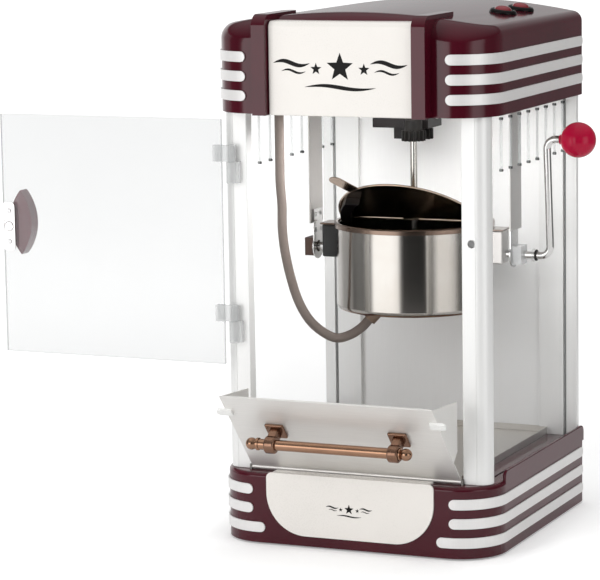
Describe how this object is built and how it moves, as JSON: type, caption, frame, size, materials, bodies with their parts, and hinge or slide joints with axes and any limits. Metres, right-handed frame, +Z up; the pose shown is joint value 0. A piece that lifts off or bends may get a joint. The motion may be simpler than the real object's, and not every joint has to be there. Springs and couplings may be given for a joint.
{
  "type": "popcorn maker",
  "caption": "Countertop popcorn maker: glazed cabinet with swinging door and tilt-out flap, tipping kettle on a hand crank, geared stirrer, lids and press buttons",
  "frame": {"origin": "on the surface that the four feet stand on, under the middle of the cabinet", "axes": "+X to the machine's own left side as seen from the front (picture right, crank side), +Y to the rear, +Z up; the sign, door and flap face -Y"},
  "size_m": [0.5296, 0.3228, 0.483],
  "materials": {
    "burgundy": "glossy moulded plastic in deep burgundy",
    "cream": "smooth cream plastic panel",
    "silver_trim": "satin silver strip",
    "black_sheet": "black painted sheet",
    "rubber": "soft black rubber",
    "floor_steel": "brushed stainless tray",
    "post_metal": "satin near-white painted profile",
    "clear_pane": "clear pane",
    "clear_hinge": "milky clear plastic",
    "rear_sheet": "light satin sheet",
    "screw_steel": "plain steel",
    "ceiling_sheet": "plain steel sheet",
    "black_plastic": "black plastic",
    "button_red": "glossy dark red",
    "motor_steel": "zinc plated steel",
    "gear_black": "black moulded gear",
    "lamp_ceramic": null,
    "lamp_glass": "frosted lamp glass",
    "strap_steel": "plain steel strap",
    "bracket_steel": "bright steel",
    "bush_brown": "brown phenolic block",
    "gland_plastic": "dark plastic",
    "handle_plastic": "glossy burgundy plastic",
    "catch_steel": "bright steel plate",
    "magnet_nickel": "nickel plated magnet",
    "flap_steel": "brushed stainless sheet",
    "flap_tab_plastic": "off-white plastic",
    "copper_bar": "polished copper-coloured bar",
    "copper_bracket": "polished copper-coloured bracket",
    "kettle_steel": "polished stainless steel",
    "cover_steel": "heat-darkened steel",
    "element_steel": "heat-darkened steel tube",
    "block_black": "black insulating block",
    "crank_chrome": "polished rod",
    "knob_red": "glossy crimson ball",
    "stirrer_steel": "plain steel",
    "lead_sleeve": "woven heat-resistant sleeve"
  },
  "bodies": {
    "cabinet": {"base_shell": "burgundy", "base_plate": "black_sheet", "rubber_feet": "rubber", "base_trim": "silver_trim", "base_front_panel": "cream", "cabinet_floor": "floor_steel", "front_posts": "post_metal", "rear_posts": "post_metal", "window_left": "clear_pane", "window_right": "clear_pane", "rear_panel": "rear_sheet", "frame_screws": "screw_steel", "canopy_shell": "burgundy", "ceiling_plate": "ceiling_sheet", "sign_panel": "cream", "sign_ribs": "burgundy", "canopy_trim": "silver_trim", "power_inlet": "black_plastic", "switch_bezels": "black_plastic", "motor": "motor_steel", "gear_housing": "black_plastic", "lamp_holder": "lamp_ceramic", "lamp": "lamp_glass", "kettle_straps": "strap_steel", "pivot_brackets": "bracket_steel", "pivot_bushes": "bush_brown", "lead_gland": "gland_plastic", "post_knuckles": "clear_hinge", "door_strike": "screw_steel", "flap_hinge": "flap_steel", "kettle_lead": "lead_sleeve"},
    "door": {"door_panel": "clear_pane", "door_knuckles": "clear_hinge", "door_handle": "handle_plastic", "catch_plate": "catch_steel", "door_magnet": "magnet_nickel", "catch_screws": "screw_steel"},
    "flap": {"flap_plate": "flap_steel", "flap_tabs": "flap_tab_plastic", "flap_handle_bar": "copper_bar", "flap_handle_brackets": "copper_bracket"},
    "kettle": {"kettle_pot": "kettle_steel", "kettle_shell": "kettle_steel", "kettle_cover": "cover_steel", "heating_element": "element_steel", "thermostat": "lamp_ceramic", "kettle_blocks": "block_black", "left_trunnion": "bracket_steel", "lid_bridge": "kettle_steel", "crank_rod": "crank_chrome", "crank_knob": "knob_red"},
    "front_lid": {"front_lid": "kettle_steel", "front_lid_clip": "black_plastic"},
    "rear_lid": {"rear_lid": "kettle_steel"},
    "stirrer": {"stirrer_shaft": "stirrer_steel", "stirrer_pinion": "gear_black", "stirrer_paddle": "stirrer_steel"},
    "drive_gear": {"drive_gear": "gear_black"},
    "button_light": {"button_light": "button_red"},
    "button_motor": {"button_motor": "button_red"}
  },
  "joints": [
    {"name": "door_swing", "type": "hinge", "parent": "cabinet", "child": "door", "pos_m": [-0.1155, -0.1243, 0.275], "axis": [0, 0, 1], "range_deg": [0, 180]},
    {"name": "flap_tilt", "type": "hinge", "parent": "cabinet", "child": "flap", "pos_m": [0, -0.1193, 0.0686], "axis": [1, 0, 0], "range_deg": [-42, 0]},
    {"name": "kettle_tilt", "type": "hinge", "parent": "cabinet", "child": "kettle", "pos_m": [0, 0.0308, 0.252], "axis": [1, 0, 0], "range_deg": [0, 110], "deforming": ["kettle_lead"]},
    {"name": "front_lid_hinge", "type": "hinge", "parent": "kettle", "child": "front_lid", "pos_m": [0, 0.024, 0.2823], "axis": [1, 0, 0], "range_deg": [-45, 35]},
    {"name": "rear_lid_hinge", "type": "hinge", "parent": "kettle", "child": "rear_lid", "pos_m": [0, 0.0376, 0.2823], "axis": [1, 0, 0], "range_deg": [0, 80]},
    {"name": "stirrer_spin", "type": "hinge", "parent": "kettle", "child": "stirrer", "pos_m": [0, 0.0308, 0.3], "axis": [0, 0, 1], "continuous": true},
    {"name": "drive_spin", "type": "hinge", "parent": "cabinet", "child": "drive_gear", "pos_m": [0, 0.051, 0.37], "axis": [0, 0, 1], "continuous": true},
    {"name": "button_light_press", "type": "slide", "parent": "cabinet", "child": "button_light", "axis": [-0.1435, 0, -0.9897], "range_m": [0, 0.0025], "stiffness_N_per_m": 400},
    {"name": "button_motor_press", "type": "slide", "parent": "cabinet", "child": "button_motor", "axis": [-0.1435, 0, -0.9897], "range_m": [0, 0.0025], "stiffness_N_per_m": 400}
  ],
  "couplings": [
    {"joint": "drive_spin", "follows": "stirrer_spin", "ratio": -1}
  ]
}
